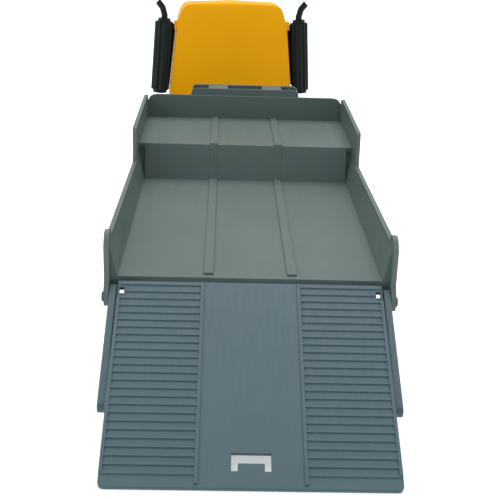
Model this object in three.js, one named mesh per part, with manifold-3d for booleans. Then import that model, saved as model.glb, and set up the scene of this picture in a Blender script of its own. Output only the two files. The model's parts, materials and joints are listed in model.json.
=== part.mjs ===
// Toy articulated lorry: a conventional-cab tractor and a stepped low-loader semi-trailer
// with a fold-down rear ramp. Millimetres, +Z up, +Y forwards, +X to the right.
// The origin is the middle of the lower deck's loading face.
import * as THREE from 'three';
import * as BufferGeometryUtils from 'three/addons/utils/BufferGeometryUtils.js';
import Module from 'manifold-3d';

const wasm = await Module();
wasm.setup();

const GAP = 0.35; // clearance between neighbouring pieces
const GROUND = -72; // height of the floor under the wheels

// Trailer bed
const DECK_REAR = -108; // rear edge of the lower deck
const DECK_FRONT = 108; // foot of the riser
const RISER_TOP = 115; // rear edge of the upper deck
const UPPER_DECK = 29; // height of the upper deck's face
const HEADBOARD = 212; // rear face of the headboard
const HEADBOARD_TOP = 50;
const PLATE = 3.5; // thickness of floors, riser and headboard
const FLOOR_HALF = 85; // half the clear width between the walls at the floor
const BED_HALF = 93; // half the outer width
const WALL_LIP = 3.2; // wall thickness at its top edge
const WALL_TOP = 20; // top of the lower side walls
const WALL_STEP = 91; // where the side walls drop from the upper to the lower height
const RIB_CENTRE = 27; // distance of each floor rib from the middle plane
const RIB_WIDTH = 6;
const RIB_HEIGHT = 1.4;

// Ramp
const HINGE_Y = DECK_REAR - 8;
const HINGE_Z = -11;
const RAMP_SLOPE = THREE.MathUtils.degToRad(28.6); // slope of the lowered ramp
const RAMP_HALF = 84; // half the ramp's width
const RAMP_TOP = 6.8; // tread plate's face above the hinge axis
const RAMP_START = -8; // plate's upper edge, measured down the ramp from the hinge axis
const RAMP_END = 136; // plate's lower edge
const RAMP_PLATE = 3;
const RAMP_RIDGE = 30.5; // distance of the ridges beside the smooth middle panel
const RIDGE_HEIGHT = 1; // long ridges above the ramp's plate
const TREAD_HEIGHT = 0.8; // cross ribs above the ramp's plate
const TREAD_COUNT = 25;

// Tractor, in its own frame: the kingpin is its origin, and it stands turned a little to the left
const KINGPIN_Y = 180;
const TRACTOR_TURN = THREE.MathUtils.degToRad(6);
const RAIL_IN = 18;
const RAIL_OUT = 26;
const RAIL_TOP = -8;
const RAIL_BOTTOM = -22;
const CAB_REAR = 120;
const CAB_FRONT = 197;
const CAB_TOP = 124;
const CAB_BOTTOM = -7;
const CAB_WALL = 3;
const SLEEPER_FRONT = 146; // the rear box of the cab ends here
const CAB_STEP = 7; // how much narrower and lower the front of the cab is
const HOOD_FRONT = 276;
const HOOD_HALF = 38;
const HOOD_WALL = 2.5;
const FRONT_AXLE_Y = 232;
const REAR_AXLES_Y = [-20, 42];
const STACK_X = 71.9; // at the foot
const STACK_FOOT = 34;
const STACK_LEAN = THREE.MathUtils.degToRad(3.8); // inwards, towards the cab roof
const STACK_Y = 124;

// Wheels
const TRACTOR_WHEEL = 29; // radius across the tyre's flats
const TRAILER_WHEEL = 22;
const TRAILER_AXLES_Y = [-74, -20];
const AXLE_RADIUS = 2.2;
const TYRE_SIDES = 24;
const RIM_SIDES = 16;
const TRACTOR_AXLE_Z = GROUND + TRACTOR_WHEEL;
const TRAILER_AXLE_Z = GROUND + TRAILER_WHEEL;

const HALF_TURN = Math.PI;
const QUARTER_TURN = Math.PI / 2;

const MATERIALS = {
  yellow: { color: 0xd9a000, roughness: 0.35, metalness: 0 },
  bedGrey: { color: 0x6f7c7c, roughness: 0.55, metalness: 0 },
  rampGrey: { color: 0x5f737a, roughness: 0.55, metalness: 0 },
  black: { color: 0x191f20, roughness: 0.5, metalness: 0 },
  tyre: { color: 0x161616, roughness: 0.85, metalness: 0 },
  rim: { color: 0xb9bcbc, roughness: 0.4, metalness: 0 },
  steel: { color: 0xc0c2c4, roughness: 0.3, metalness: 1 },
  clear: { color: 0xbfd0d6, roughness: 0.1, metalness: 0 },
};

// ---------- geometry helpers ----------

function toSolid(geometry) {
  const bare = geometry.clone();
  bare.deleteAttribute('normal');
  bare.deleteAttribute('uv');
  const merged = BufferGeometryUtils.mergeVertices(bare, 1e-4);
  const index = merged.index.array;
  const corners = [];
  for (let i = 0; i < index.length; i += 3) {
    const [a, b, c] = [index[i], index[i + 1], index[i + 2]];
    if (a !== b && b !== c && c !== a) {
      corners.push(a, b, c);
    }
  }
  const vertProperties = new Float32Array(merged.attributes.position.array);
  const build = () => new wasm.Manifold(
    new wasm.Mesh({ numProp: 3, vertProperties, triVerts: new Uint32Array(corners) }),
  );
  const solid = build();
  if (solid.volume() > 0) {
    return solid;
  }
  corners.reverse();
  return build();
}

function toGeometry(solid) {
  const mesh = solid.getMesh();
  const geometry = new THREE.BufferGeometry();
  geometry.setAttribute('position', new THREE.BufferAttribute(new Float32Array(mesh.vertProperties), 3));
  geometry.setIndex(new THREE.BufferAttribute(new Uint32Array(mesh.triVerts), 1));
  geometry.computeVertexNormals();
  return geometry;
}

function join(...solids) {
  return solids.reduce((sum, next) => sum.add(next));
}

function box(x0, x1, y0, y1, z0, z1) {
  const geometry = new THREE.BoxGeometry(x1 - x0, y1 - y0, z1 - z0);
  geometry.translate((x0 + x1) / 2, (y0 + y1) / 2, (z0 + z1) / 2);
  return toSolid(geometry);
}

// A closed outline whose corners are rounded: each point is [a, b] or [a, b, radius].
function outline(points) {
  const shape = new THREE.Shape();
  const count = points.length;
  points.forEach((point, i) => {
    const corner = new THREE.Vector2(point[0], point[1]);
    const radius = point[2] ?? 0;
    const before = new THREE.Vector2(...points[(i + count - 1) % count].slice(0, 2));
    const after = new THREE.Vector2(...points[(i + 1) % count].slice(0, 2));
    const start = before.sub(corner).setLength(radius).add(corner);
    const end = after.sub(corner).setLength(radius).add(corner);
    if (i === 0) {
      shape.moveTo(start.x, start.y);
    } else {
      shape.lineTo(start.x, start.y);
    }
    if (radius > 0) {
      shape.quadraticCurveTo(corner.x, corner.y, end.x, end.y);
    }
  });
  shape.closePath();
  return shape;
}

function disc(a, b, radius) {
  const shape = new THREE.Shape();
  shape.absarc(a, b, radius, 0, 2 * HALF_TURN, false);
  return shape;
}

function extrude(shape, depth, curveSegments = 5) {
  return new THREE.ExtrudeGeometry(shape, { depth, bevelEnabled: false, curveSegments });
}

// Outline drawn in Y and Z, drawn out along X from x0 to x1.
function alongX(shape, x0, x1, curveSegments) {
  const geometry = extrude(shape, x1 - x0, curveSegments);
  const turn = new THREE.Matrix4().makeBasis(
    new THREE.Vector3(0, 1, 0),
    new THREE.Vector3(0, 0, 1),
    new THREE.Vector3(1, 0, 0),
  );
  geometry.applyMatrix4(turn);
  geometry.translate(x0, 0, 0);
  return toSolid(geometry);
}

// Outline drawn in X and Z, drawn out along Y from y0 to y1.
function alongY(shape, y0, y1, curveSegments) {
  const geometry = extrude(shape, y1 - y0, curveSegments);
  geometry.rotateX(QUARTER_TURN);
  geometry.translate(0, y1, 0);
  return toSolid(geometry);
}

// Outline drawn in X and Y, drawn out along Z from z0 to z1.
function alongZ(shape, z0, z1, curveSegments) {
  const geometry = extrude(shape, z1 - z0, curveSegments);
  geometry.translate(0, 0, z0);
  return toSolid(geometry);
}

function rodX(radius, x0, x1, y, z, sides = 16) {
  const geometry = new THREE.CylinderGeometry(radius, radius, x1 - x0, sides);
  geometry.rotateZ(QUARTER_TURN);
  geometry.translate((x0 + x1) / 2, y, z);
  return toSolid(geometry);
}

function rodZ(radius, x, y, z0, z1, sides = 16) {
  const geometry = new THREE.CylinderGeometry(radius, radius, z1 - z0, sides);
  geometry.rotateX(QUARTER_TURN);
  geometry.translate(x, y, (z0 + z1) / 2);
  return toSolid(geometry);
}

function mirrorX(solid) {
  return solid.mirror([1, 0, 0]);
}

function piece(name, look, solid) {
  const mesh = new THREE.Mesh(toGeometry(solid), new THREE.MeshStandardMaterial(MATERIALS[look]));
  mesh.name = name;
  return mesh;
}

// ---------- trailer ----------

// Side view of one bed wall, with the rear corner post and its hinge ear.
function wallOutline() {
  const front = HEADBOARD + PLATE;
  const under = UPPER_DECK - PLATE;
  return outline([
    [DECK_REAR - 7, 0],
    [DECK_REAR - 7, 23, 2],
    [DECK_REAR - 1, 30, 3],
    [DECK_REAR + 7, 30, 4],
    [DECK_REAR + 13, WALL_TOP + 4, 3],
    [WALL_STEP - 2, WALL_TOP, 1.5],
    [WALL_STEP, HEADBOARD_TOP - 2, 2.5],
    [front, HEADBOARD_TOP, 6],
    [front, under],
    [RISER_TOP + 8, under],
    [DECK_FRONT + 8, -6, 3],
    [DECK_REAR + 12, -6],
    [DECK_REAR - 4, -17, 3],
    [DECK_REAR - 12, -17, 4],
    [DECK_REAR - 13, -8, 3],
  ]);
}

// Rear view of a wall: it leans out a little on the inside.
function wallSection() {
  return outline([
    [FLOOR_HALF, -18],
    [FLOOR_HALF, 0],
    [BED_HALF - WALL_LIP, WALL_TOP],
    [BED_HALF - WALL_LIP, HEADBOARD_TOP + 1],
    [BED_HALF, HEADBOARD_TOP + 1],
    [BED_HALF, -18],
  ]);
}

function bedWall() {
  const post = box(BED_HALF - WALL_LIP, BED_HALF, DECK_REAR - 14, DECK_REAR + 1, -18, 31);
  const run = alongY(wallSection(), DECK_REAR, HEADBOARD + PLATE);
  const pinHole = rodX(AXLE_RADIUS + GAP, FLOOR_HALF - 4, BED_HALF + 4, HINGE_Y, HINGE_Z);
  return alongX(wallOutline(), FLOOR_HALF - 1, BED_HALF).intersect(post.add(run)).subtract(pinHole);
}

// Side view of the floors and the leaning riser, as one plate, with top and bottom above the loading face.
function floorOutline(top, bottom) {
  return outline([
    [DECK_REAR, top],
    [DECK_FRONT, top],
    [RISER_TOP, UPPER_DECK + top],
    [HEADBOARD + 1, UPPER_DECK + top],
    [HEADBOARD + 1, UPPER_DECK + bottom],
    [RISER_TOP + PLATE, UPPER_DECK + bottom],
    [DECK_FRONT + PLATE, bottom],
    [DECK_REAR, bottom],
  ]);
}

function headboard() {
  const half = BED_HALF - 3;
  const shape = outline([
    [-half, UPPER_DECK - PLATE],
    [half, UPPER_DECK - PLATE],
    [half, HEADBOARD_TOP, 9],
    [-half, HEADBOARD_TOP, 9],
  ]);
  return alongY(shape, HEADBOARD, HEADBOARD + PLATE);
}

function floorRib() {
  const clearOfEdge = 5;
  const strip = alongX(floorOutline(RIB_HEIGHT, -1), RIB_CENTRE - RIB_WIDTH / 2, RIB_CENTRE + RIB_WIDTH / 2);
  const cut = box(0, FLOOR_HALF, DECK_REAR - 1, DECK_REAR + clearOfEdge, -9, 9);
  return strip.subtract(cut);
}

function bed() {
  const wall = bedWall();
  const rib = floorRib();
  const floor = alongX(floorOutline(0, -PLATE), -FLOOR_HALF, FLOOR_HALF);
  const half = BED_HALF - 1;
  const upper = box(-half, half, RISER_TOP, HEADBOARD + 1, UPPER_DECK - PLATE, UPPER_DECK);
  const setBack = alongX(outline([
    [DECK_FRONT + 3, -PLATE],
    [RISER_TOP + 3, UPPER_DECK - 1],
    [RISER_TOP + 7, UPPER_DECK - 1],
    [DECK_FRONT + 7, -PLATE],
  ]), -half, half);
  return join(floor, upper, setBack, headboard(), wall, mirrorX(wall), rib, mirrorX(rib));
}

// Box on the gooseneck's nose, in front of the headboard, with three pockets open at the top.
function gooseneckBox() {
  const rear = HEADBOARD + PLATE + GAP;
  const half = 50;
  const shell = alongY(
    outline([[-half, 30], [half, 30], [half, 56, 6], [-half, 56, 6]]),
    rear,
    rear + 21,
  );
  const pocket = (x0, x1) => box(x0, x1, rear + 1.5, rear + 17, 38, 60);
  return shell.subtract(pocket(-48, -34)).subtract(pocket(-16, 16)).subtract(pocket(34, 48));
}

function kingpin() {
  const top = UPPER_DECK - PLATE - GAP;
  const flange = rodZ(24, 0, KINGPIN_Y, 21, top, 32);
  const pin = rodZ(4, 0, KINGPIN_Y, 4, 22, 24);
  return flange.add(pin);
}

function underframe() {
  const top = -6 - GAP;
  const beams = [-1, 1].map((side) => box(side * 34 - 4, side * 34 + 4, -96, 84, -20, top));
  const ties = [-92, -47, 10, 78].map((y) => box(-32, 32, y - 4, y + 4, -18, top));
  const packers = [-60, 50].map((y) => box(-60, 60, y - 5, y + 5, top - 1, -PLATE - GAP));
  const hangers = [];
  const bores = [];
  for (const y of TRAILER_AXLES_Y) {
    const ear = outline([[y - 12, -18], [y - 6, TRAILER_AXLE_Z - 6, 3], [y + 6, TRAILER_AXLE_Z - 6, 3], [y + 12, -18]]);
    hangers.push(alongX(ear, -38, -30), alongX(ear, 30, 38));
    bores.push(rodX(AXLE_RADIUS + GAP, -40, 40, y, TRAILER_AXLE_Z));
  }
  const legBore = rodX(2.5 + GAP, -44, 44, 74, -13);
  return join(...beams, ...ties, ...packers, ...hangers)
    .subtract(join(...bores))
    .subtract(legBore);
}

// One-piece prop: two legs with feet, a cross bar, and a pivot through the frame.
function landingLeg() {
  const leg = outline([[78, -17, 3], [78, -9, 3], [24, -9, 3], [24, -17, 3]]);
  const foot = box(42, 58, 20, 25, -19, -7);
  const side = alongX(leg, 46, 54).add(foot);
  const bar = box(-48, 48, 30, 36, -25, -21);
  const lug = box(46, 54, 29, 37, -24, -12);
  const pivot = rodX(2.5, -50, 50, 74, -13);
  return join(side, mirrorX(side), bar, lug, mirrorX(lug), pivot);
}

// ---------- ramp, drawn level with its hinge axis as origin and its run towards -Y ----------

function treadRib(distance) {
  const foot = RAMP_TOP - 0.5;
  const shape = outline([
    [-distance - 1.4, foot],
    [-distance - 0.7, RAMP_TOP + TREAD_HEIGHT],
    [-distance + 0.7, RAMP_TOP + TREAD_HEIGHT],
    [-distance + 1.4, foot],
  ]);
  return alongX(shape, RAMP_RIDGE, RAMP_HALF - 1);
}

function fingerSlot() {
  const far = RAMP_END - 11;
  const near = far - 11.3;
  const tongue = box(-7.5, 7.5, -far - 1, -far + 4.8, 0, RAMP_TOP + 2);
  return box(-11.2, 11.2, -far, -near, 0, RAMP_TOP + 2).subtract(tongue);
}

function rampPlate() {
  const under = RAMP_TOP - RAMP_PLATE;
  const sheet = outline([
    [-RAMP_START, RAMP_TOP, 1],
    [-RAMP_END, RAMP_TOP, 1],
    [-RAMP_END, RAMP_TOP - 2],
    [-RAMP_END + 5, under],
    [-RAMP_START, under, 1],
  ]);
  const plan = outline([
    [-RAMP_HALF, -RAMP_END, 4],
    [RAMP_HALF, -RAMP_END, 4],
    [RAMP_HALF, -RAMP_START],
    [-RAMP_HALF, -RAMP_START],
  ]);
  return alongX(sheet, -RAMP_HALF, RAMP_HALF).intersect(alongZ(plan, -5, 20));
}

function rampSideParts() {
  const ridge = box(RAMP_HALF - 2, RAMP_HALF, -RAMP_END + 9, -5, RAMP_TOP - 1, RAMP_TOP + RIDGE_HEIGHT);
  const inner = box(RAMP_RIDGE - 1, RAMP_RIDGE + 1, -RAMP_END + 3, 7, RAMP_TOP - 1, RAMP_TOP + RIDGE_HEIGHT);
  const stiffener = box(RAMP_HALF - 12, RAMP_HALF - 9.5, -RAMP_END + 16, -6, 0.5, RAMP_TOP - 1);
  const knuckle = rodX(5, RAMP_HALF - 14, RAMP_HALF - 5, 0, 0).add(
    box(RAMP_HALF - 14, RAMP_HALF - 5, -5, 4, 0, RAMP_TOP - 1),
  );
  return join(ridge, inner, stiffener, knuckle);
}

function ramp() {
  const treads = [];
  const first = -5;
  const pitch = (RAMP_END - 9 - first) / (TREAD_COUNT - 1);
  for (let i = 0; i < TREAD_COUNT; i += 1) {
    treads.push(treadRib(first + i * pitch));
  }
  const half = join(rampSideParts(), ...treads);
  const pinHole = rodX(AXLE_RADIUS + GAP, RAMP_HALF - 15, RAMP_HALF - 4, 0, 0);
  const cornerHole = box(RAMP_HALF - 4.2, RAMP_HALF - 1, -3.5, 2.5, -9, 20);
  return join(rampPlate(), half, mirrorX(half))
    .subtract(fingerSlot())
    .subtract(pinHole)
    .subtract(mirrorX(pinHole))
    .subtract(cornerHole)
    .subtract(mirrorX(cornerHole));
}

// Flat prop along the ramp's edge, with a round end.
function rampArm() {
  const inner = RAMP_HALF + 1.2;
  const shape = outline([[7, 5.5, 3], [7, -5, 3], [-84, -4.5, 4], [-84, 3.5, 4]]);
  const bore = rodX(AXLE_RADIUS + GAP, inner - 1, inner + 6, 0, 0);
  return alongX(shape, inner, inner + 4.2).subtract(bore);
}

function hingePin() {
  const shank = rodX(AXLE_RADIUS, RAMP_HALF - 13.5, BED_HALF + 1, 0, 0);
  const head = rodX(3.2, BED_HALF + GAP, BED_HALF + 1.4, 0, 0, 20);
  return shank.add(head);
}

// ---------- wheels, axle along X ----------

// Profile points are [distance along the axle, radius].
function spun(profile, sides) {
  const points = profile.map(([across, radius]) => new THREE.Vector2(radius, across));
  const geometry = new THREE.LatheGeometry(points, sides);
  geometry.rotateY(HALF_TURN / sides);
  geometry.rotateZ(-QUARTER_TURN);
  return toSolid(geometry);
}

// Ring of rubber with a hollow for the rim; its outer radius is measured across the flats.
function tyre(radius, width, rimRadius) {
  const across = width / 2;
  const outer = radius / Math.cos(HALF_TURN / TYRE_SIDES);
  const bore = rimRadius + GAP;
  return spun([
    [-across + 1, bore],
    [-across, bore + 3],
    [-across, outer - 4],
    [-across + 3, outer],
    [across - 3, outer],
    [across, outer - 4],
    [across, bore + 3],
    [across - 1, bore],
    [-across + 1, bore],
  ], TYRE_SIDES);
}

// Dished rim; the hub stands proud of the dish on the outer side.
function rim(width, rimRadius, dish) {
  const across = width / 2;
  const bore = AXLE_RADIUS + GAP;
  return spun([
    [-across + 1, bore],
    [-across + 1, rimRadius],
    [across - 0.5, rimRadius],
    [across - 0.5, rimRadius - 2],
    [across - dish, rimRadius - 4],
    [across - dish, 7],
    [across - 2, 5.5],
    [across - 2, bore],
    [-across + 1, bore],
  ], RIM_SIDES);
}

function addAxle(group, name, wheels) {
  const { y, z, reach, radius, width, rimRadius, dish } = wheels;
  const axle = piece(`${name}_axle`, 'steel', rodX(AXLE_RADIUS, -reach, reach, 0, 0));
  axle.position.set(0, y, z);
  group.add(axle);
  for (const [side, facing] of [['left', HALF_TURN], ['right', 0]]) {
    const middle = (facing === 0 ? 1 : -1) * (reach - width / 2);
    const rubber = piece(`${name}_tyre_${side}`, 'tyre', tyre(radius, width, rimRadius));
    const hub = piece(`${name}_rim_${side}`, 'rim', rim(width, rimRadius, dish));
    for (const part of [rubber, hub]) {
      part.position.set(middle, y, z);
      part.rotation.z = facing;
      group.add(part);
    }
  }
}

// ---------- tractor ----------

function tractorChassis() {
  const rails = [-1, 1].map((side) => {
    const middle = side * (RAIL_IN + RAIL_OUT) / 2;
    const half = (RAIL_OUT - RAIL_IN) / 2;
    return box(middle - half, middle + half, -48, 262, RAIL_BOTTOM, RAIL_TOP)
      .add(box(middle - half, middle + half, 250, 277, -54, RAIL_TOP - 5));
  });
  const ties = [-42, 11, 80, 150, 205, 255].map((y) => (
    box(-RAIL_IN - 1, RAIL_IN + 1, y - 5, y + 5, RAIL_BOTTOM + 2, RAIL_TOP - 3)
  ));
  const ears = [];
  const bores = [];
  for (const y of [...REAR_AXLES_Y, FRONT_AXLE_Y]) {
    const ear = outline([
      [y - 13, RAIL_BOTTOM + 1],
      [y - 6, TRACTOR_AXLE_Z - 6, 3],
      [y + 6, TRACTOR_AXLE_Z - 6, 3],
      [y + 13, RAIL_BOTTOM + 1],
    ]);
    ears.push(alongX(ear, -RAIL_OUT, -RAIL_IN), alongX(ear, RAIL_IN, RAIL_OUT));
    bores.push(rodX(AXLE_RADIUS + GAP, -40, 40, y, TRACTOR_AXLE_Z));
  }
  const outriggers = box(-60, 60, 118, 126, RAIL_BOTTOM + 2, RAIL_TOP - 3);
  return join(...rails, ...ties, ...ears, outriggers).subtract(join(...bores));
}

// Saddle with a slot for the kingpin that opens to the rear.
function fifthWheel() {
  const plate = alongZ(disc(0, 0, 28), 12, 19, 8);
  const tail = box(-20, 20, -34, 0, 12, 18);
  const stand = box(-24, 24, -16, 16, RAIL_TOP + GAP, 13);
  const hole = rodZ(5, 0, 0, 0, 25, 24);
  const hollow = box(-16, 16, -12, 12, RAIL_TOP - 1, 8);
  return join(plate, tail, stand).subtract(hole).subtract(hollow);
}

// Rear view of the cab, drawn in by inset on every side.
function cabSection(inset, bottom) {
  const half = (width) => width - inset;
  return outline([
    [-half(62), bottom],
    [half(62), bottom],
    [half(61.5), 38],
    [half(54.5), 103 - inset, 8],
    [half(48), CAB_TOP - 2 - inset, 7],
    [0, CAB_TOP - inset],
    [-half(48), CAB_TOP - 2 - inset, 7],
    [-half(54.5), 103 - inset, 8],
    [-half(61.5), 38],
  ]);
}

// Side view of the cab: upright back, raked windscreen.
function cabProfile(inset, bottom) {
  return outline([
    [CAB_REAR + inset, bottom],
    [CAB_FRONT - inset, bottom],
    [CAB_FRONT - inset, 76],
    [CAB_FRONT - 13 - inset, CAB_TOP + 1, 5],
    [CAB_REAR + inset, CAB_TOP + 1, 6],
  ]);
}

function cabBody(inset, bottom) {
  const rear = alongY(cabSection(inset, bottom), CAB_REAR - 5, SLEEPER_FRONT - inset);
  const front = alongY(cabSection(inset + CAB_STEP, bottom), CAB_REAR + 10, CAB_FRONT + 5);
  return rear.add(front).intersect(alongX(cabProfile(inset, bottom), -70, 70));
}

function windowBlocks(margin) {
  return {
    windscreen: box(-40 + margin, 40 - margin, 170, 205, 78 + margin, 105 - margin),
    left: box(-70, -30, 151 + margin, 181 - margin, 64 + margin, 98 - margin),
    right: box(30, 70, 151 + margin, 181 - margin, 64 + margin, 98 - margin),
  };
}

function cabWalls() {
  return cabBody(0, CAB_BOTTOM).subtract(cabBody(CAB_WALL, CAB_BOTTOM - 1));
}

function cabShell() {
  const { windscreen, left, right } = windowBlocks(0);
  const bracket = box(52.5, 57.4, CAB_REAR + 1, CAB_REAR + 7, 98, 106);
  return join(cabWalls(), bracket, mirrorX(bracket)).subtract(join(windscreen, left, right));
}

function pane(which) {
  return cabWalls().intersect(windowBlocks(GAP)[which]);
}

function cabInterior() {
  const floor = box(-51, 51, 127, 190, RAIL_TOP + GAP, RAIL_TOP + 4);
  const bench = box(-50, 50, 128, 160, RAIL_TOP + 3, 26);
  const back = alongX(outline([[126, 20], [142, 20], [134, 66, 3], [126, 66, 3]]), -50, 50);
  return join(floor, bench, back);
}

function dashboard() {
  const shape = outline([[176, 30, 3], [192, 30], [192, 58], [184, 58, 3], [176, 46, 2]]);
  return alongX(shape, -47, 47);
}

// Ring, spokes and column, laid flat and then tipped towards the driver.
function steeringWheel() {
  const ring = toSolid(new THREE.TorusGeometry(11, 1.3, 6, 18));
  const spokes = box(-11, 11, -1.2, 1.2, -1, 1);
  const column = rodZ(1.6, 0, 0, -8, 1, 12);
  return join(ring, spokes, column);
}

function sunVisor() {
  const shape = outline([
    [CAB_FRONT - 4, 104],
    [CAB_FRONT + 7, 100],
    [CAB_FRONT + 8, 102],
    [CAB_FRONT - 3, 115],
    [CAB_FRONT - 10, 115],
    [CAB_FRONT - 10, 104],
  ]);
  return alongX(shape, -44, 44).subtract(cabBody(-GAP, CAB_BOTTOM));
}

function hoodProfile(inset, bottom) {
  return outline([
    [CAB_FRONT + 1 + (inset ? -2 : 0), bottom],
    [HOOD_FRONT - inset, bottom],
    [HOOD_FRONT - inset, 52 - inset, 8],
    [CAB_FRONT + 1 + (inset ? -2 : 0), 70 - inset],
  ]);
}

function hoodSection(inset, bottom) {
  const half = HOOD_HALF - inset;
  return outline([
    [-half, bottom],
    [half, bottom],
    [half, 73 - inset, 16],
    [-half, 73 - inset, 16],
  ]);
}

function hoodBody(inset, bottom) {
  const long = alongY(hoodSection(inset, bottom), CAB_FRONT - 5, HOOD_FRONT + 5);
  return long.intersect(alongX(hoodProfile(inset, bottom), -50, 50));
}

// Arch over one front wheel, with a blunt nose that carries the headlamp.
function fender() {
  const shape = new THREE.Shape();
  shape.absarc(FRONT_AXLE_Y, TRACTOR_AXLE_Z, 39.5, 0.3, HALF_TURN - 0.3, false);
  shape.absarc(FRONT_AXLE_Y, TRACTOR_AXLE_Z, 34.5, HALF_TURN - 0.3, 0.3, true);
  const arch = alongX(shape, HOOD_HALF - 2, 82, 14);
  const round = rodX(34.5, 30, 90, FRONT_AXLE_Y, TRACTOR_AXLE_Z, 48);
  const nose = box(HOOD_HALF - 2, 82, 256, HOOD_FRONT, -32, -6).subtract(round);
  return arch.add(nose);
}

function hood() {
  const side = fender();
  const bottom = RAIL_TOP + 3;
  const shell = hoodBody(0, bottom).subtract(hoodBody(HOOD_WALL, bottom - 1));
  return join(shell, side, mirrorX(side));
}

function grille() {
  const rear = HOOD_FRONT + GAP;
  const frame = box(-29, 29, rear, rear + 1.5, -3, 44);
  const bars = [];
  for (let i = 0; i < 9; i += 1) {
    const x = -24 + i * 6;
    bars.push(box(x - 1.2, x + 1.2, rear + 1, rear + 3, 0, 41));
  }
  return join(frame, ...bars);
}

function headlamp(side) {
  const shape = outline([[-11, -8, 3], [11, -8, 3], [11, 8, 3], [-11, 8, 3]]);
  const lens = alongY(shape, HOOD_FRONT + GAP, HOOD_FRONT + 3);
  return lens.translate([side * 64, 0, -18]);
}

function bumper() {
  const shape = outline([
    [-83, 278], [83, 278], [83, 284, 4], [60, 289, 6], [-60, 289, 6], [-83, 284, 4],
  ]);
  return alongZ(shape, -58, -38);
}

function engine() {
  const block = box(-24, 24, 202, 256, RAIL_TOP + GAP, 28);
  const head = box(-15, 15, 206, 250, 26, 44);
  const fan = toSolid(new THREE.CylinderGeometry(17, 17, 6, 24).translate(0, 258, 10));
  return join(block, head, fan);
}

// Fluted guard round the upright exhaust, narrower at the foot.
function stackShield() {
  const flutes = 12;
  const shape = new THREE.Shape();
  for (let i = 0; i < flutes * 2; i += 1) {
    const radius = i % 2 === 0 ? 9 : 7.8;
    const angle = (i * HALF_TURN) / flutes;
    const [x, y] = [radius * Math.cos(angle), radius * Math.sin(angle)];
    if (i === 0) {
      shape.moveTo(x, y);
    } else {
      shape.lineTo(x, y);
    }
  }
  shape.closePath();
  const body = alongZ(shape, 4, 71);
  const collar = rodZ(7, 0, 0, 1, 5, 20);
  const fin = alongY(outline([[-9.4, 9], [-4, 9], [-4, 69], [-11.9, 69]]), 3, 5);
  const cap = rodZ(6.2, 0, 0, 70, 74, 20);
  const bore = rodZ(3.4 + GAP, 0, 0, -4, 78, 20);
  return join(body, collar, cap, fin).subtract(bore);
}

// Pipe that rises through the guard and leans outwards at its mouth.
function exhaustPipe() {
  const path = new THREE.CurvePath();
  const foot = new THREE.Vector3(0, 0, 0.5);
  const bend = new THREE.Vector3(0, 0, 75.5);
  const mouth = new THREE.Vector3(7.5, -1, 90);
  path.add(new THREE.LineCurve3(foot, bend));
  path.add(new THREE.QuadraticBezierCurve3(bend, new THREE.Vector3(0, 0, 84), mouth));
  const section = new THREE.Shape();
  section.absarc(0, 0, 3.2, 0, 2 * HALF_TURN, false);
  const geometry = new THREE.ExtrudeGeometry(section, { steps: 12, extrudePath: path, curveSegments: 5 });
  return toSolid(geometry);
}

function sideBox(side) {
  const shape = outline([[106, 2], [146, 2], [146, 25, 3], [106, 25, 3]]);
  const inner = 62 + GAP;
  const solid = alongX(shape, inner, 82);
  return side > 0 ? solid : mirrorX(solid);
}

function fuelTank(side) {
  const geometry = new THREE.CylinderGeometry(16, 16, 64, 28);
  geometry.translate(side * 45, 162, -37);
  return toSolid(geometry);
}

function tractorBody(group) {
  group.add(piece('tractor_chassis', 'black', tractorChassis()));
  group.add(piece('fifth_wheel', 'black', fifthWheel()));
  group.add(piece('cab_shell', 'yellow', cabShell()));
  group.add(piece('windscreen', 'clear', pane('windscreen')));
  group.add(piece('side_window_left', 'clear', pane('left')));
  group.add(piece('side_window_right', 'clear', pane('right')));
  group.add(piece('cab_interior', 'black', cabInterior()));
  group.add(piece('dashboard', 'black', dashboard()));
  group.add(piece('sun_visor', 'yellow', sunVisor()));
  const wheel = piece('steering_wheel', 'black', steeringWheel());
  wheel.position.set(-26, 168.5, 49);
  wheel.rotation.x = THREE.MathUtils.degToRad(55);
  group.add(wheel);
  group.add(piece('engine', 'black', engine()));
  group.add(piece('hood', 'yellow', hood()));
  group.add(piece('grille', 'rim', grille()));
  group.add(piece('front_bumper', 'rim', bumper()));
  for (const [name, side] of [['left', -1], ['right', 1]]) {
    group.add(piece(`headlamp_${name}`, 'clear', headlamp(side)));
    group.add(piece(`fuel_tank_${name}`, 'black', fuelTank(side)));
    group.add(piece(`side_box_${name}`, 'yellow', sideBox(side)));
    const stack = new THREE.Group();
    stack.position.set(side * STACK_X, STACK_Y, STACK_FOOT);
    stack.rotation.y = -side * STACK_LEAN;
    const shield = side > 0 ? stackShield() : mirrorX(stackShield());
    stack.add(piece(`stack_shield_${name}`, 'black', shield));
    const pipe = piece(`exhaust_pipe_${name}`, 'black', exhaustPipe());
    pipe.rotation.z = side > 0 ? 0 : HALF_TURN;
    stack.add(pipe);
    group.add(stack);
  }
}

// ---------- assembly ----------

function makeTrailer() {
  const group = new THREE.Group();
  group.add(piece('bed', 'bedGrey', bed()));
  group.add(piece('gooseneck_box', 'bedGrey', gooseneckBox()));
  group.add(piece('kingpin', 'steel', kingpin()));
  group.add(piece('underframe', 'black', underframe()));
  group.add(piece('landing_leg', 'black', landingLeg()));
  TRAILER_AXLES_Y.forEach((y, i) => {
    addAxle(group, `trailer_${['rear', 'front'][i]}`, {
      y, z: TRAILER_AXLE_Z, reach: 82, radius: TRAILER_WHEEL, width: 26, rimRadius: 13, dish: 7,
    });
  });
  return group;
}

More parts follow.
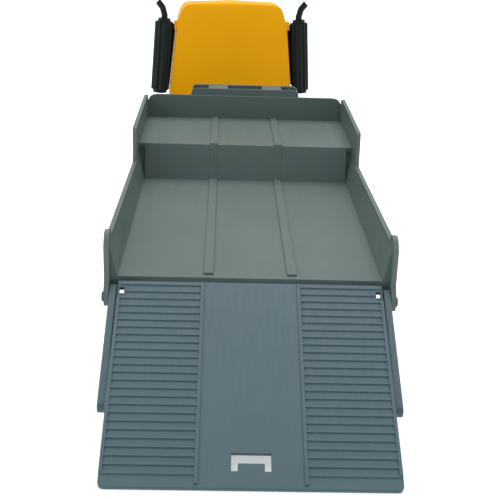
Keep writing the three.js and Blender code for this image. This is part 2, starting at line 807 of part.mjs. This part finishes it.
function makeRamp() {
  const group = new THREE.Group();
  group.position.set(0, HINGE_Y, HINGE_Z);
  const tilted = new THREE.Group();
  tilted.rotation.x = RAMP_SLOPE;
  tilted.add(piece('ramp', 'rampGrey', ramp()));
  tilted.add(piece('ramp_arm_left', 'rampGrey', mirrorX(rampArm())));
  tilted.add(piece('ramp_arm_right', 'rampGrey', rampArm()));
  group.add(tilted);
  group.add(piece('hinge_pin_left', 'rampGrey', mirrorX(hingePin())));
  group.add(piece('hinge_pin_right', 'rampGrey', hingePin()));
  return group;
}

function makeTractor() {
  const group = new THREE.Group();
  group.position.y = KINGPIN_Y;
  group.rotation.z = TRACTOR_TURN;
  tractorBody(group);
  addAxle(group, 'tractor_front', {
    y: FRONT_AXLE_Y, z: TRACTOR_AXLE_Z, reach: 80, radius: TRACTOR_WHEEL, width: 20, rimRadius: 18, dish: 5,
  });
  REAR_AXLES_Y.forEach((y, i) => {
    addAxle(group, `tractor_${['rearmost', 'middle'][i]}`, {
      y, z: TRACTOR_AXLE_Z, reach: 80, radius: TRACTOR_WHEEL, width: 34, rimRadius: 18, dish: 11,
    });
  });
  return group;
}

const group = new THREE.Group();
group.add(makeTrailer());
group.add(makeRamp());
group.add(makeTractor());

export default group;
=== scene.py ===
import json
import math

import bmesh
import bpy
from mathutils import Matrix, Vector


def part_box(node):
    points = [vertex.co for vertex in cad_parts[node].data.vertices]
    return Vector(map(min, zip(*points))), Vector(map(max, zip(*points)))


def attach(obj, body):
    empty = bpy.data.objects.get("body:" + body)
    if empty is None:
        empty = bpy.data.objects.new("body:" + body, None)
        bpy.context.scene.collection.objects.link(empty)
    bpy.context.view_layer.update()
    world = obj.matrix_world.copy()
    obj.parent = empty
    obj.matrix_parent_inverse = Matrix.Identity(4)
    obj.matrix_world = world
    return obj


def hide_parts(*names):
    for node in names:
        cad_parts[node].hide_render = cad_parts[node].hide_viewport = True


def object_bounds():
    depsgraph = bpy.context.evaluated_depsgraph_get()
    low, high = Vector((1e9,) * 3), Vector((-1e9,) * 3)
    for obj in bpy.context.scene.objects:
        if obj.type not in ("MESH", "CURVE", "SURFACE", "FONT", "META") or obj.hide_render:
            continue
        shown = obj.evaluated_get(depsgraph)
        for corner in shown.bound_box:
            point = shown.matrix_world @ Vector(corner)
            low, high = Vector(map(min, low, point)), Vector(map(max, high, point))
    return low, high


# Looks for the toy articulated lorry: metres, +Z up, +Y forwards, +X right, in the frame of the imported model.
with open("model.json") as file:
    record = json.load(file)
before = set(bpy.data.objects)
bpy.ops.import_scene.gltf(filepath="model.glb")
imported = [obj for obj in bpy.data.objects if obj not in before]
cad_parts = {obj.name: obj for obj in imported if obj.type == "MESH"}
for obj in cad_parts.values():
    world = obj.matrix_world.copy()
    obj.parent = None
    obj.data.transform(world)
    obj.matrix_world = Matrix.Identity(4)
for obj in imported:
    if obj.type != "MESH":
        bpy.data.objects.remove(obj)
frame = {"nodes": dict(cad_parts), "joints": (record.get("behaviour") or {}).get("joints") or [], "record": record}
CAD_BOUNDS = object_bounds()
MM = 0.001
JOINTS = {joint["name"]: joint for joint in frame["joints"]}
GROUND = CAD_BOUNDS[0].z

# The tractor's own frame: the kingpin is its origin, and the front axle gives its heading.
KINGPIN = Vector(JOINTS["tractor_turn"]["pos_m"])
FRONT_AXIS = Vector(JOINTS["tractor_front_spin"]["axis"])
HEADING = math.atan2(FRONT_AXIS.y, FRONT_AXIS.x)
TRACTOR = Matrix.Translation((KINGPIN.x, KINGPIN.y, 0)) @ Matrix.Rotation(HEADING, 4, "Z")


# ---------- camera, lights and floor ----------

def make_camera():
    pitch, turn, roll = math.radians(20.79), math.radians(-1.79), math.radians(1.85)
    forward = Vector((-math.sin(turn) * math.cos(pitch), math.cos(turn) * math.cos(pitch), -math.sin(pitch)))
    level = Vector((math.cos(turn), math.sin(turn), 0))
    above = level.cross(forward)
    right = math.cos(roll) * level + math.sin(roll) * above
    up = math.cos(roll) * above - math.sin(roll) * level
    data = bpy.data.cameras.new("camera")
    data.lens = 71.1
    data.sensor_width = 36
    data.clip_start = 0.02
    camera = bpy.data.objects.new("camera", data)
    turned = Matrix((right, up, -forward)).transposed().to_4x4()
    camera.matrix_world = Matrix.Translation((-0.0195, -0.693, 0.2421)) @ turned
    bpy.context.scene.collection.objects.link(camera)
    bpy.context.scene.camera = camera


def area_light(name, place, target, size, power, colour):
    data = bpy.data.lights.new(name, "AREA")
    data.shape = "RECTANGLE"
    data.size, data.size_y = size
    data.energy = power
    data.color = colour
    light = bpy.data.objects.new(name, data)
    aim = Vector(target) - Vector(place)
    light.matrix_world = Matrix.Translation(place) @ aim.to_track_quat("-Z", "Y").to_matrix().to_4x4()
    bpy.context.scene.collection.objects.link(light)


def make_lights():
    world = bpy.data.worlds.new("studio")
    world.use_nodes = True
    world.node_tree.nodes["Background"].inputs["Color"].default_value = (0.8, 0.94, 1.0, 1)
    world.node_tree.nodes["Background"].inputs["Strength"].default_value = 0.75
    bpy.context.scene.world = world
    area_light("overhead", (0.1, 0.5, 1.5), (0, 0.05, 0), (1.6, 1.4), 24, (1.0, 0.98, 0.93))
    area_light("side", (-1.2, -0.5, 0.8), (0, 0, 0), (0.8, 0.8), 4, (0.85, 0.94, 1.0))
    bpy.context.scene.view_settings.view_transform = "Standard"


def make_floor():
    bpy.ops.mesh.primitive_plane_add(size=60, location=(0, 0, GROUND))
    floor = bpy.context.object
    floor.name = "floor"
    material = bpy.data.materials.new("floor_white")
    material.use_nodes = True
    shader = material.node_tree.nodes["Principled BSDF"]
    shader.inputs["Base Color"].default_value = (0.94, 0.94, 0.94, 1)
    shader.inputs["Roughness"].default_value = 0.7
    shader.inputs["Specular IOR Level"].default_value = 0.1
    shader.inputs["Emission Color"].default_value = (1, 1, 1, 1)
    shader.inputs["Emission Strength"].default_value = 0.45
    floor.data.materials.append(material)


# ---------- materials ----------

def linear(red, green, blue):
    """Linear colour from 8-bit display values."""
    def one(value):
        value /= 255
        return value / 12.92 if value <= 0.04045 else ((value + 0.055) / 1.055) ** 2.4
    return (one(red), one(green), one(blue), 1)


def shaded(colour, factor):
    return tuple(min(channel * factor, 0.97) for channel in colour[:3]) + (1,)


class Recipe:
    """A material under construction: adds nodes and links them by name."""

    def __init__(self, name):
        self.material = bpy.data.materials.new(name)
        self.material.use_nodes = True
        self.tree = self.material.node_tree
        self.shader = self.tree.nodes["Principled BSDF"]
        self.where = self.tree.nodes.new("ShaderNodeTexCoord").outputs["Object"]

    def noise(self, scale, detail=3, stretch=None, roughness=0.5):
        node = self.tree.nodes.new("ShaderNodeTexNoise")
        node.inputs["Scale"].default_value = scale
        node.inputs["Detail"].default_value = detail
        node.inputs["Roughness"].default_value = roughness
        source = self.where
        if stretch:
            mapping = self.tree.nodes.new("ShaderNodeMapping")
            mapping.inputs["Scale"].default_value = stretch
            self.tree.links.new(source, mapping.inputs["Vector"])
            source = mapping.outputs["Vector"]
        self.tree.links.new(source, node.inputs["Vector"])
        return node.outputs["Fac"]

    def ramp(self, source, stops):
        node = self.tree.nodes.new("ShaderNodeValToRGB")
        while len(node.color_ramp.elements) < len(stops):
            node.color_ramp.elements.new(0.5)
        for element, (place, colour) in zip(node.color_ramp.elements, stops):
            element.position = place
            element.color = colour
        self.tree.links.new(source, node.inputs["Fac"])
        return node.outputs["Color"]

    def map_range(self, source, low, high, start=0.3, end=0.7):
        node = self.tree.nodes.new("ShaderNodeMapRange")
        node.inputs["From Min"].default_value = start
        node.inputs["From Max"].default_value = end
        node.inputs["To Min"].default_value = low
        node.inputs["To Max"].default_value = high
        self.tree.links.new(source, node.inputs["Value"])
        return node.outputs["Result"]

    def mix(self, factor, first, second, blend="MIX"):
        node = self.tree.nodes.new("ShaderNodeMix")
        node.data_type = "RGBA"
        node.blend_type = blend
        for socket, value in (("Factor", factor), ("A", first), ("B", second)):
            target = [s for s in node.inputs if s.name == socket and s.enabled][0]
            if isinstance(value, (int, float, tuple)):
                target.default_value = value
            else:
                self.tree.links.new(value, target)
        return [s for s in node.outputs if s.enabled][0]

    def bump(self, height, distance, strength=1.0, under=None):
        node = self.tree.nodes.new("ShaderNodeBump")
        node.inputs["Distance"].default_value = distance
        node.inputs["Strength"].default_value = strength
        self.tree.links.new(height, node.inputs["Height"])
        if under is not None:
            self.tree.links.new(under, node.inputs["Normal"])
        return node.outputs["Normal"]

    def feed(self, socket, source):
        self.tree.links.new(source, self.shader.inputs[socket])

    def set(self, **values):
        for socket, value in values.items():
            self.shader.inputs[socket.replace("_", " ")].default_value = value


def moulded_plastic(name, colour, rough, grain=0.00003, cloud=0.05, specular=0.5, coat=0.0):
    """Moulded plastic: cloudy pigment, faint flow marks, hairline scuffs and a fine surface grain."""
    recipe = Recipe(name)
    clouds = recipe.ramp(
        recipe.noise(16, detail=4),
        [(0.3, shaded(colour, 1 - cloud)), (0.7, shaded(colour, 1 + cloud))],
    )
    flow = recipe.map_range(recipe.noise(9, detail=2, stretch=(3, 0.5, 3)), 0.0, 0.35, 0.5, 0.8)
    tinted = recipe.mix(flow, clouds, shaded(colour, 1 + 2 * cloud))
    specks = recipe.map_range(recipe.noise(260, detail=2, roughness=0.7), 0.0, 0.5, 0.72, 0.8)
    dusty = recipe.mix(specks, tinted, shaded(colour, 1.3))
    recipe.feed("Base Color", dusty)
    scuffs = recipe.noise(70, detail=6, stretch=(6, 0.4, 2), roughness=0.75)
    recipe.feed("Roughness", recipe.map_range(scuffs, rough - 0.07, rough + 0.1))
    fine = recipe.bump(recipe.noise(2600, detail=2), grain, 0.6)
    recipe.feed("Normal", recipe.bump(recipe.noise(60, detail=2), 0.00012, 0.35, under=fine))
    recipe.set(Specular_IOR_Level=specular, Coat_Weight=coat, Coat_Roughness=0.15)
    return recipe.material


def tyre_rubber():
    recipe = Recipe("tyre_rubber")
    base = linear(26, 26, 27)
    dust = recipe.ramp(recipe.noise(45, detail=5), [(0.42, base), (0.75, linear(58, 55, 52))])
    recipe.feed("Base Color", dust)
    recipe.feed("Roughness", recipe.map_range(recipe.noise(160, detail=4), 0.6, 0.9))
    recipe.feed("Normal", recipe.bump(recipe.noise(1800, detail=3), 0.00006, 0.6))
    return recipe.material


def bright_steel():
    recipe = Recipe("bright_steel")
    recipe.feed("Base Color", recipe.ramp(
        recipe.noise(120, detail=4, stretch=(0.2, 4, 4)),
        [(0.3, linear(176, 176, 178)), (0.7, linear(208, 208, 210))],
    ))
    recipe.feed("Roughness", recipe.map_range(recipe.noise(500, detail=3, stretch=(0.1, 6, 6)), 0.2, 0.42))
    recipe.set(Metallic=1.0)
    return recipe.material


def clear_plastic(name, tint):
    recipe = Recipe(name)
    recipe.feed("Base Color", recipe.ramp(recipe.noise(20), [(0.3, tint), (0.7, shaded(tint, 0.96))]))
    recipe.feed("Roughness", recipe.map_range(recipe.noise(300, detail=4), 0.02, 0.09))
    recipe.set(Transmission_Weight=0.92, IOR=1.49)
    return recipe.material


def make_materials():
    return {
        "bed": moulded_plastic("bed_grey", linear(90, 100, 96), 0.45, cloud=0.05, specular=0.3),
        # The ramp is the bed's slate plastic with a painted bluish reflection of the cool fill light mixed into
        # its base colour.
        "ramp": moulded_plastic("ramp_grey_painted_blue_fill", linear(66, 86, 93), 0.48, cloud=0.04, specular=0.35),
        "yellow": moulded_plastic(
            "cab_yellow", linear(238, 161, 0), 0.45, grain=0.00001, cloud=0.015, specular=0.1,
        ),
        "black": moulded_plastic("satin_black", linear(8, 20, 17), 0.45, cloud=0.12, specular=0.2),
        "silver": moulded_plastic(
            "silver_grey", linear(176, 178, 178), 0.32, grain=0.00001, cloud=0.03, coat=0.3,
        ),
        "rim": moulded_plastic("rim_grey", linear(172, 174, 172), 0.35, cloud=0.03),
        "tyre": tyre_rubber(),
        "steel": bright_steel(),
        "clear": clear_plastic("clear_pane", (0.86, 0.92, 0.94, 1)),
    }


# ---------- piece helpers ----------

WELD_DISTANCE = 0.001 * MM
FLAT_ANGLE = math.radians(1.2)
SHARP_ANGLE = 28  # degrees: edges sharper than this are rounded and shaded as edges

BODY_OF = {node: body for body, nodes in frame["record"]["behaviour"]["bodies"].items() for node in nodes}


def settle(piece, look, body, *nodes):
    """Gives a piece its material, the body that it rides on and the CAD nodes that it stands for."""
    piece.data.materials.clear()
    piece.data.materials.append(MATERIALS[look])
    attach(piece, body)
    if nodes:
        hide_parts(*nodes)
    return piece


def from_bmesh(name, mesh, smooth_angle=35):
    data = bpy.data.meshes.new(name)
    bmesh.ops.recalc_face_normals(mesh, faces=mesh.faces)
    mesh.to_mesh(data)
    mesh.free()
    for polygon in data.polygons:
        polygon.use_smooth = True
    data.set_sharp_from_angle(angle=math.radians(smooth_angle))
    piece = bpy.data.objects.new(name, data)
    bpy.context.scene.collection.objects.link(piece)
    return piece


def soften(piece, width, segments=2, angle=SHARP_ANGLE):
    """Rounds the edges sharper than the given angle."""
    modifier = piece.modifiers.new("soft_edges", "BEVEL")
    modifier.width = width
    modifier.segments = segments
    modifier.limit_method = "ANGLE"
    modifier.angle_limit = math.radians(angle)
    normals = piece.modifiers.new("flat_faces", "WEIGHTED_NORMAL")
    normals.weight = 100
    normals.keep_sharp = True
    return piece


def welded(node):
    """A copy of a CAD node's mesh with its vertices joined and its flat faces merged."""
    mesh = bmesh.new()
    mesh.from_mesh(frame["nodes"][node].data)
    bmesh.ops.remove_doubles(mesh, verts=mesh.verts, dist=WELD_DISTANCE)
    bmesh.ops.dissolve_limit(mesh, angle_limit=FLAT_ANGLE, verts=mesh.verts, edges=mesh.edges)
    return mesh


def refined(node, look, width=0.4 * MM, segments=2, angle=SHARP_ANGLE):
    """A welded copy of a CAD node with soft edges, in its place."""
    piece = from_bmesh(f"{node}_fine", welded(node), smooth_angle=angle)
    soften(piece, width, segments, angle)
    return settle(piece, look, BODY_OF[node], node)


def spun(profile, sides):
    """Closed ring spun about the X axis; profile points are (along the axis, radius)."""
    mesh = bmesh.new()
    rings = []
    for i in range(sides):
        angle = math.tau * i / sides
        rings.append([mesh.verts.new((x, r * math.cos(angle), r * math.sin(angle))) for x, r in profile])
    count = len(profile)
    for i in range(sides):
        here, there = rings[i], rings[(i + 1) % sides]
        for j in range(count):
            k = (j + 1) % count
            mesh.faces.new((here[j], here[k], there[k], there[j]))
    return mesh


# ---------- wheels ----------

AXLE_BORE = 2.55 * MM
RIM_GAP = 0.35  # millimetres between a rim and its tyre
LUG_STEPS = 4  # steps round the tyre for each lug: half of them raised, half low


def tyre_mesh(radius, width, bore, lugs):
    """Tyre with staggered tread blocks on both shoulders and a groove round the middle."""
    half = width / 2
    depth = 1.3 * MM
    lift = radius - depth
    profile = [
        (-half + 1 * MM, bore), (-half + 0.2 * MM, bore + 1.5 * MM), (-half, bore + 4 * MM),
        (-half + 0.1 * MM, radius - 5 * MM), (-half + 1.4 * MM, radius - 2.2 * MM),
        (-half + 3 * MM, lift), (-half * 0.15, lift), (-half * 0.06, lift - 0.4 * MM),
    ]
    profile += [(-x, r) for x, r in reversed(profile)]
    steps = lugs * LUG_STEPS
    mesh = spun(profile, steps)
    mesh.verts.ensure_lookup_table()
    count = len(profile)
    # Points of the profile that a lug lifts, each with its share of the depth.
    raised = {4: 0.5, 5: 1.0, 6: 1.0, count - 5: 0.5, count - 6: 1.0, count - 7: 1.0}
    for i in range(steps):
        for j, share in raised.items():
            stagger = LUG_STEPS // 2 if j > count // 2 else 0
            if (i + stagger) % LUG_STEPS < LUG_STEPS // 2:
                vert = mesh.verts[i * count + j]
                distance = math.hypot(vert.co.y, vert.co.z)
                grow = (distance + depth * share) / distance
                vert.co.y *= grow
                vert.co.z *= grow
    return mesh


def rim_mesh(width, rim_radius, dish, bore):
    """Dished rim with a hub and a ring of hexagon nuts, open side at +X."""
    half = width / 2
    profile = [
        (-half + 1.2 * MM, bore), (-half + 1.2 * MM, rim_radius - 0.4 * MM), (-half + 1.6 * MM, rim_radius),
        (half - 1.0 * MM, rim_radius), (half - 0.6 * MM, rim_radius - 0.4 * MM),
        (half - 0.6 * MM, rim_radius - 1.6 * MM), (half - 1.0 * MM, rim_radius - 2.0 * MM),
        (half - dish + 1.0 * MM, rim_radius - 3.2 * MM), (half - dish, rim_radius - 4.2 * MM),
        (half - dish, 7.6 * MM), (half - dish + 0.8 * MM, 6.6 * MM), (half - 2.6 * MM, 5.6 * MM),
        (half - 2.0 * MM, 4.8 * MM), (half - 2.0 * MM, bore),
    ]
    mesh = spun(profile, 64)
    nuts = 8
    ring = (7.6 * MM + rim_radius - 4.2 * MM) / 2
    for i in range(nuts):
        angle = math.tau * (i + 0.5) / nuts
        place = Matrix.Translation((half - dish + 0.5 * MM, ring * math.cos(angle), ring * math.sin(angle)))
        bmesh.ops.create_cone(
            mesh, cap_ends=True, segments=6, radius1=1.1 * MM, radius2=0.9 * MM, depth=1.4 * MM,
            matrix=place @ Matrix.Rotation(math.pi / 2, 4, "Y"),
        )
    return mesh


def wheel_place(node, heading, facing):
    low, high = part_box(node)
    return Matrix.Translation((low + high) / 2) @ Matrix.Rotation(heading + facing, 4, "Z")


def make_wheels():
    # Millimetres: tyre radius, tyre width, rim radius and dish depth, then the number of tread lugs.
    kinds = {
        "trailer_rear": (22, 26, 13, 7, 16), "trailer_front": (22, 26, 13, 7, 16),
        "tractor_front": (29, 20, 18, 5, 20), "tractor_rearmost": (29, 34, 18, 11, 20),
        "tractor_middle": (29, 34, 18, 11, 20),
    }
    for axle, (radius, width, rim_radius, dish, lugs) in kinds.items():
        heading = HEADING if axle.startswith("tractor") else 0.0
        for side, facing in (("left", math.pi), ("right", 0.0)):
            carcass = tyre_mesh(radius * MM, width * MM, (rim_radius + RIM_GAP) * MM, lugs)
            rubber = from_bmesh(f"{axle}_tread_{side}", carcass)
            rubber.data.transform(wheel_place(f"{axle}_tyre_{side}", heading, facing))
            settle(soften(rubber, 0.25 * MM, 2, 40), "tyre", f"{axle}_wheels", f"{axle}_tyre_{side}")
            dished = rim_mesh(width * MM, rim_radius * MM, dish * MM, AXLE_BORE)
            hub = from_bmesh(f"{axle}_hub_{side}", dished)
            hub.data.transform(wheel_place(f"{axle}_rim_{side}", heading, facing))
            settle(soften(hub, 0.15 * MM, 2, 40), "rim", f"{axle}_wheels", f"{axle}_rim_{side}")
        refined(f"{axle}_axle", "steel", 0.2 * MM)


# ---------- assembly ----------

def make_trailer():
    refined("bed", "bed", 0.5 * MM, 3)
    refined("gooseneck_box", "bed", 0.6 * MM, 3)
    refined("ramp", "ramp", 0.22 * MM, 2)
    for side in ("left", "right"):
        refined(f"ramp_arm_{side}", "ramp", 0.5 * MM, 3)
        refined(f"hinge_pin_{side}", "ramp", 0.3 * MM, 3)
    for node in ("underframe", "landing_leg"):
        refined(node, "black")
    refined("kingpin", "steel", 0.3 * MM)


def cab_shell():
    """The cab with a generous radius all round its flat back."""
    mesh = welded("cab_shell")
    mesh.transform(TRACTOR.inverted())
    back = max((face for face in mesh.faces if face.normal.y < -0.99), key=lambda face: face.calc_area())
    foot = min(vert.co.z for vert in back.verts)
    rim = [edge for edge in back.edges if max(vert.co.z for vert in edge.verts) > foot + 1 * MM]
    bmesh.ops.bevel(
        mesh, geom=rim, offset=5 * MM, segments=6, profile=0.5, affect="EDGES", clamp_overlap=True,
    )
    mesh.transform(TRACTOR)
    piece = from_bmesh("cab_shell_fine", mesh, smooth_angle=SHARP_ANGLE)
    soften(piece, 0.8 * MM, 3)
    return settle(piece, "yellow", BODY_OF["cab_shell"], "cab_shell")


def make_tractor():
    cab_shell()
    refined("hood", "yellow", 1.0 * MM, 3)
    refined("sun_visor", "yellow", 0.6 * MM, 3)
    for side in ("left", "right"):
        refined(f"side_box_{side}", "yellow", 0.8 * MM, 3)
        refined(f"headlamp_{side}", "clear", 0.6 * MM, 3)
        refined(f"fuel_tank_{side}", "black", 1.0 * MM, 3)
        refined(f"stack_shield_{side}", "black", 0.3 * MM, 2)
        refined(f"exhaust_pipe_{side}", "black", 0.2 * MM, 2)
        refined(f"side_window_{side}", "clear", 0.3 * MM, 2)
    refined("windscreen", "clear", 0.3 * MM, 2)
    refined("grille", "silver", 0.3 * MM, 2)
    refined("front_bumper", "silver", 0.8 * MM, 3)
    for node in ("tractor_chassis", "fifth_wheel", "cab_interior", "dashboard", "steering_wheel", "engine"):
        refined(node, "black")


make_camera()
make_lights()
make_floor()
MATERIALS = make_materials()
make_trailer()
make_tractor()
make_wheels()
